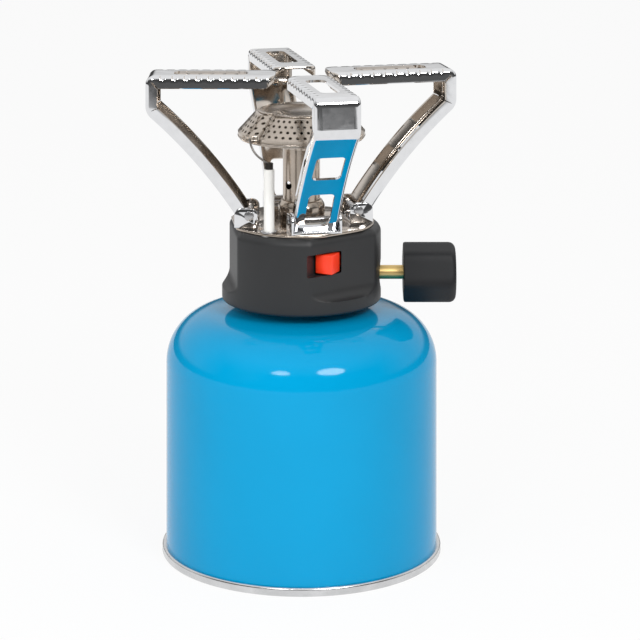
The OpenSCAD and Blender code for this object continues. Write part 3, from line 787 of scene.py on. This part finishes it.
def rounded_crown():
    """The plain band over the holes, which rounds over into a level lip."""
    lip = skirt_crown - crown_lip
    below = skirt_top - skirt_sheet
    shoulder = (skirt_crown + 0.1 * mm, skirt_top - 0.25 * mm)
    flat_r = skirt_crown - 0.4 * mm
    flat_below_r = skirt_crown - 0.5 * mm
    edge = skirt_corner + (first_row + rows * row_step - band_lap) * skirt_slope
    outline = [edge, shoulder, (flat_r, skirt_top), (lip, skirt_top), (lip, below)]
    outline += [(flat_below_r, below), edge + skirt_inward]
    return fluted(turned("skirt_crown", outline, skirt_steps), still_r)


def pressed_cap():
    """A shallow dished disc whose middle drops inside the crown of the skirt."""
    lo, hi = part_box("burner_cap")
    edge = 0.28 * mm
    well = 11 * mm
    well_slope = 1 * mm
    well_z = hi.z - 0.3 * mm
    spigot = skirt_crown - crown_lip - 0.1 * mm
    outline = [(0, well_z), (well - well_slope, well_z), (well, hi.z)]
    outline += arc((hi.x - edge, hi.z - edge), edge, 90, -90, 6)
    outline += [(spigot, skirt_top), (spigot, lo.z), (0, lo.z)]
    return fluted(turned("pressed_cap", outline, skirt_steps), still_r)


warm_nickel = drawn_metal("warm_nickel", (0.6, 0.53, 0.46), 0.16, (300, 300, 300))
add_piece(pierced_skirt(warm_nickel), warm_nickel, "stove", "burner_skirt")
for band in (rolled_rim(), rounded_crown()):
    add_piece(band, warm_nickel, "stove", "burner_skirt")
add_piece(pressed_cap(), warm_nickel, "stove", "burner_cap")
add_piece(softened("burner_pan", 0.15 * mm), warm_nickel, "stove", "burner_pan")


# Electrode: a glazed porcelain stick in a spring clip on the plate. A steel wire comes out of its
# top through a crimped ferrule and bends over to the skirt, where the spark jumps.

def glazed_porcelain():
    made, wire, place = new_finish("porcelain")
    white = (0.84, 0.83, 0.8)
    cloud = noise(wire, place, 120.0)
    wave = noise(wire, place, 260.0, 2.0)
    close_finish(wire, {
        "Base Color": cloud.between(0.3, 0.7).mix(shade(*white, by=0.94), shade(*white)),
        "Roughness": 0.22 + 0.15 * wave,
        "Normal": relief(wire, wave, 0.1, 0.05 * mm),
    })
    return made


def moved(mesh, place):
    """The mesh shifted level from the axis to a place."""
    mesh.transform(Matrix.Translation((place.x, place.y, 0)))
    return mesh


def porcelain_stick(place):
    lo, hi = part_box("electrode_ceramic")
    collar_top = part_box("housing")[1].z
    outer = 2.1 * mm
    collar = hi.x - place.x
    bore = 0.62 * mm
    edge = 0.5 * mm
    outline = [(bore, lo.z), (collar, lo.z), (collar, collar_top), (outer, collar_top)]
    outline += arc((outer - edge, hi.z - edge), edge, 0, 90, 5) + [(bore, hi.z)]
    return moved(turned("porcelain_stick", outline, 40), place)


def round_wire(name, points, radius):
    """A round wire through some points, its bends eased."""
    curve = bpy.data.curves.new(name, "CURVE")
    curve.dimensions = "3D"
    curve.bevel_depth = radius
    curve.bevel_resolution = 4
    curve.use_fill_caps = True
    line = curve.splines.new("NURBS")
    line.points.add(len(points) - 1)
    for spot, point in zip(line.points, points):
        spot.co = (*point, 1.0)
    line.order_u = 3
    line.use_endpoint_u = True
    line.resolution_u = 10
    body = bpy.data.objects.new("work", curve)
    bpy.context.scene.collection.objects.link(body)
    return taken_from(body, name, [], 35.0)


def spark_wire(place, top):
    """A wire that rises out of the ferrule and bows over to the flute in the skirt."""
    bends = [(0, 0, -6), (0, 0, 0), (0, 0, 2), (-2.2, 1.3, 3), (-5.6, 3.3, 5.2)]
    bends += [(-7.6, 4.5, 9), (-7.8, 4.6, 11.2)]
    points = [Vector((place.x, place.y, top)) + Vector(bend) * mm for bend in bends]
    return round_wire("spark_wire", points, 0.42 * mm)


def wire_ferrule(place, top):
    bore = 0.5 * mm
    outer = 1.6 * mm
    height = 2.5 * mm
    edge = 0.3 * mm
    outline = [(bore, top), (outer, top)] + arc((outer - edge, top + height - edge), edge, 0, 90, 4)
    outline += [(bore, top + height)]
    return moved(turned("wire_ferrule", outline, 32), place)


stick = sum(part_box("electrode_clip"), Vector()) / 2
stick_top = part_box("electrode_ceramic")[1].z
porcelain = glazed_porcelain()
dark_steel = drawn_metal("dark_steel", (0.3, 0.28, 0.26), 0.3, (500, 500, 500))
scaled_steel = drawn_metal("scaled_steel", (0.07, 0.065, 0.06), 0.4, (900, 900, 900))
add_piece(porcelain_stick(stick), porcelain, "stove", "electrode_ceramic")
add_piece(spark_wire(stick, stick_top), dark_steel, "stove", "electrode_wire")
add_piece(wire_ferrule(stick, stick_top), scaled_steel, "stove", "electrode_wire")
add_piece(softened("electrode_clip", 0.15 * mm), steel, "stove", "electrode_clip")


# Igniter: a piezo unit in a black nylon case, set into the housing behind the front flat, with a
# rubber lead to the electrode. Its button is moulded in glossy red plastic and slides in the pocket
# of that flat.

red_plastic = moulded("red_plastic", (1.0, 0.048, 0.012), 0.28, 1500.0)
add_piece(softened("igniter_button", 0.45 * mm), red_plastic, "button", "igniter_button")
paint(black_nylon, "igniter_unit")
paint(rubber, "igniter_lead")


# Control: a turned brass spindle with the needle at its inner end, which runs in a brass bonnet with
# a packing and a gland nut. A six-sided black knob, moulded with rounded outer corners, is pressed on
# its outer end.

def six_sided_knob():
    lo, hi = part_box("control_knob")
    centre_z = sum(corner.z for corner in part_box("control_spindle")) / 2
    length = hi.x - lo.x
    corner = 11.9 * mm
    flat = 10.74 * mm
    first_flat = 42
    end_round = 2.8 * mm
    back_edge = 0.8 * mm
    back_inset = 0.5 * mm
    soften = 0.8 * mm
    steps = 360
    well = 7.2 * mm
    well_slope = 0.4 * mm
    well_z = length - 0.7 * mm
    bore = 2.78 * mm
    bore_end = 9 * mm
    rings = [(bore, 0, 0), (corner - back_edge, 0, back_inset)]
    rings += [(corner - 0.25 * back_edge, 0.25 * back_edge, 0.24 * back_inset)]
    rings += [(corner, back_edge, 0), (corner, 0.5 * length, 0)]
    for radius, height in arc((corner - end_round, length - end_round), end_round, 0, 90, 10):
        rings.append((radius, height, 0.5 * (corner - radius)))
    rings += [(well, length, 0), (well - well_slope, well_z, 0), (bore, well_z, 0)]
    rings += [(0, well_z, 0), (0, bore_end, 0), (bore, bore_end, 0)]
    flats = [(first_flat + 60 * i, lambda height: flat) for i in range(6)]
    mesh = faceted("six_sided_knob", rings, flats, soften, steps)
    along = Matrix(((0, 0, 1, lo.x), (1, 0, 0, 0), (0, 1, 0, centre_z), (0, 0, 0, 1)))
    mesh.transform(along)
    return mesh


# The knob's black nylon is painted darker than the housing's as painted shade, against the light that
# its upturned faces catch.
knob_black_painted_shade = moulded("knob_black_painted_shade", (0.009, 0.0095, 0.011), 0.48, 2300.0, gloss=0.34)
add_piece(six_sided_knob(), knob_black_painted_shade, "knob", "control_knob")
paint(brass, "control_spindle", "valve_bonnet", "gland_nut")
paint(rubber, "spindle_packing")


# Pot supports: each is pressed from one steel strip and chromed, with flanges down both sides that
# are slit where the strip turns. Its foot is pinned in a bracket that swivels on an upset rivet.

foot_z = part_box("support_front")[0].z
bar_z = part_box("support_front")[1].z
reach = 62.7 * mm
nose = 11 * mm
half_width = 9.25 * mm
sheet = 1 * mm
bend = 1.7 * mm
flange = 5 * mm
slit = 2.2 * mm
mitre = 0.2 * mm
top_round = 3.5 * mm
knee_round = 6 * mm
sag = math.radians(8.5)
knee = Vector((reach, bar_z - 15 * mm))
foot = Vector((24.5 * mm, foot_z))
chord = knee - foot
bow_r = chord.length / (2 * math.sin(sag))
bow = (knee + foot) / 2 + bow_r * math.cos(sag) * Vector((chord.y, -chord.x)) / chord.length
knee_x = reach - knee_round
knee_z = bow.y + math.sqrt((bow_r + knee_round) ** 2 - (bow.x - knee_x) ** 2)
knee_turn = math.atan2(bow.y - knee_z, bow.x - knee_x)


def channel_section(half, rounding, depth):
    """Points (across, depth) round a U of sheet with rounded bends, starting on its right half."""
    tip = 0.3 * sheet
    middle = half - rounding
    flat = half - 3.2 * mm
    quarter = [math.radians(90 * i / 6) for i in range(7)]
    side = [(flat, 0)]
    side += [(middle + rounding * math.sin(a), rounding - rounding * math.cos(a)) for a in quarter]
    side += [(half, depth - tip), (half - tip, depth)]
    side += [(half - sheet + tip, depth), (half - sheet, depth - tip)]
    inner = rounding - sheet
    side += [(middle + inner * math.cos(a), rounding - inner * math.sin(a)) for a in quarter]
    side += [(flat, sheet)]
    side = [(y, min(q, depth)) for y, q in side]
    return side + [(-y, q) for y, q in reversed(side)]


def facing(angle):
    """The way the strip's outer face looks at an angle, as (outward, up)."""
    return Vector((math.cos(angle), math.sin(angle)))


def bar_stations():
    """The level bar from its rounded nose to the top bend, with grip notches in both edges.

    A station is (place, facing, flange depth, half width, rounding of the bends).
    """
    steps = 150
    straight = reach - top_round - nose
    nose_round = 4 * mm
    notches = 9
    first_notch = 17.5 * mm
    notch_pitch = 4.8 * mm
    notch_half = 1.1 * mm
    notch_press = 0.9 * mm
    stations = []
    for i in range(steps + 1):
        r = nose + straight * i / steps
        into = min(r - nose, nose_round)
        width = half_width - nose_round + math.sqrt(nose_round ** 2 - (nose_round - into) ** 2)
        lead = min(r - nose, flange)
        depth = min(math.sqrt(flange ** 2 - (flange - lead) ** 2), flange, reach - r - mitre)
        near = (r - first_notch) / notch_pitch
        press = 0.0
        if 0 <= round(near) < notches:
            off = abs(near - round(near)) * notch_pitch / notch_half
            press = max(1.0 - off * off, 0.0)
        place = Vector((r, bar_z))
        stations.append((place, Vector((0, 1)), max(depth, sheet), width, bend + notch_press * press))
    return stations


def bend_stations():
    """The top bend, the upright and the knee; the flanges are slit at both turns."""
    top_steps = 12
    upright_steps = 20
    knee_steps = 40
    top_flare = 1.1 * mm
    knee_flare = 4.5
    top_centre = Vector((reach - top_round, bar_z - top_round))
    stations = []
    for i in range(1, top_steps + 1):
        out = facing(math.pi / 2 * (1 - i / top_steps))
        depth = slit + top_flare * abs(2 * i / top_steps - 1)
        stations.append((top_centre + top_round * out, out, depth, half_width, bend))
    for i in range(1, upright_steps + 1):
        z = top_centre.y + (knee_z - top_centre.y) * i / upright_steps
        depth = min(flange, bar_z - z - mitre)
        stations.append((Vector((reach, z)), Vector((1, 0)), depth, half_width, bend))
    for i in range(1, knee_steps + 1):
        a = knee_turn * i / knee_steps
        depth = min(flange, slit + abs(a - knee_turn / 2) * knee_round * knee_flare)
        place = Vector((knee_x, knee_z)) + knee_round * facing(a)
        stations.append((place, facing(a), depth, half_width, bend))
    return stations


def strut_stations():
    """The bowed strut, drawn past its foot, with ears on its flanges for the cross pin."""
    steps = 90
    overrun = 12 * mm
    pin = Vector((21.2 * mm, foot_z + 3.7 * mm))
    ear = 3.2 * mm
    start = knee_turn + math.pi
    end = math.atan2(foot.y - bow.y, foot.x - bow.x) % (2 * math.pi) + overrun / bow_r
    stations = []
    for i in range(1, steps + 1):
        out = -facing(start + (end - start) * i / steps)
        place = bow - bow_r * out
        along = (pin - place).dot(Vector((out.y, -out.x)))
        depth = flange
        if abs(along) < ear:
            depth = max(flange, -(pin - place).dot(out) + math.sqrt(ear ** 2 - along ** 2))
        stations.append((place, out, depth, half_width, bend))
    return stations


def support_strip():
    """The channel's section drawn along the stations and trimmed level at the foot."""
    shape = bmesh.new()
    loops = []
    for place, out, depth, half, rounding in bar_stations() + bend_stations() + strut_stations():
        section = channel_section(half, rounding, depth)
        spots = [(place.x - q * out.x, y, place.y - q * out.y) for y, q in section]
        loops.append([shape.verts.new(spot) for spot in spots])
    skin(shape, loops)
    shape.faces.new(loops[0])
    shape.faces.new(list(reversed(loops[-1])))
    bmesh.ops.remove_doubles(shape, verts=shape.verts, dist=1e-7)
    whole = shape.verts[:] + shape.edges[:] + shape.faces[:]
    bmesh.ops.bisect_plane(shape, geom=whole, plane_co=(0, 0, foot_z), plane_no=(0, 0, -1),
                           clear_outer=True)
    bmesh.ops.holes_fill(shape, edges=[e for e in shape.edges if e.is_boundary])
    bmesh.ops.recalc_face_normals(shape, faces=shape.faces)
    return smooth_mesh("support", shape)


def strut_place(r):
    """The point of the strut's outer face over a radius."""
    return Vector((r, bow.y + math.sqrt(bow_r ** 2 - (bow.x - r) ** 2)))


def support_channel():
    """The strip with a slot in its bar and two windows in its strut."""
    margin = 11 * mm
    slot_width = 8 * mm
    slot_corner = 2.5 * mm
    slot_cut = 12 * mm
    windows = ((26.3, 36.3, 10.4), (42, 51.8, 11.6))
    window_corner = 2 * mm
    window_cut = 9 * mm
    window_start = -4 * mm
    slot_in = nose + margin
    slot_out = reach - margin
    slot = round_prism(slot_out - slot_in, slot_width, slot_corner, slot_cut)
    cutters = [(slot, Matrix.Translation(((slot_in + slot_out) / 2, 0, bar_z - slot_cut / 2)))]
    for inner, outer, width in windows:
        low = strut_place(inner * mm)
        high = strut_place(outer * mm)
        window = round_prism((high - low).length, width * mm, window_corner, window_cut)
        lean = -math.atan2(high.y - low.y, high.x - low.x)
        middle = (low + high) / 2
        lay = Matrix.Translation((middle.x, 0, middle.y)) @ Matrix.Rotation(lean, 4, "Y")
        cutters.append((window, lay @ Matrix.Translation((0, 0, window_start))))
    return cut_out(support_strip(), cutters, 40.0)


def chrome_plate():
    made, wire, place = new_finish("chrome")
    wave = noise(wire, place, 70.0, 2.0)
    haze = noise(wire, place, 320.0, 3.0)
    close_finish(wire, {
        "Base Color": haze.between(0.35, 0.7).mix(shade(0.83, 0.835, 0.85), shade(0.79, 0.795, 0.81)),
        "Metallic": 1.0,
        "Roughness": 0.02 + 0.06 * haze.between(0.35, 0.75),
        "Normal": relief(wire, wave, 0.11, 0.4 * mm),
    })
    return made


def inside_faces(mesh):
    """The faces of a support that look into its channel."""
    edge = 7.5 * mm
    bar_end = 60 * mm
    flange_lean = 0.5
    strut_lean = 0.35
    bar_lean = 0.8
    found = []
    for face in mesh.polygons:
        turned_in = face.center.y * face.normal.y < 0 and abs(face.center.y) > edge
        in_flange = turned_in and abs(face.normal.y) > flange_lean
        in_strut = face.normal.x < -strut_lean
        under_bar = face.normal.z < -bar_lean and face.center.x < bar_end
        if in_flange or in_strut or under_bar:
            found.append(face.index)
    return found


chrome = chrome_plate()
thin_plating = drawn_metal("thin_plating", (0.68, 0.62, 0.56), 0.02, (60, 60, 60))
channel = support_channel()
inside = inside_faces(channel)
rivet_r = 20.5 * mm
for side, azimuth, swing in (("front", -77, 0), ("right", 13, 0), ("rear", 103, 0), ("left", 193, -14)):
    body = "arm_" + side
    rivet = Matrix.Translation((rivet_r, 0, 0))
    swung = rivet @ Matrix.Rotation(math.radians(swing), 4, "Z") @ rivet.inverted()
    strip = channel.copy()
    strip.name = "pressed_support_" + side
    strip.transform(Matrix.Rotation(math.radians(azimuth), 4, "Z") @ swung)
    add_piece(strip, chrome, body, "support_" + side)
    strip.materials.append(thin_plating)
    for index in inside:
        strip.polygons[index].material_index = 1
    bracket = "bracket_" + side
    add_piece(softened(bracket, 0.25 * mm), chrome, body, bracket)
    pin = "cross_pin_" + side
    add_piece(softened(pin, 0.3 * mm), steel, body, pin)
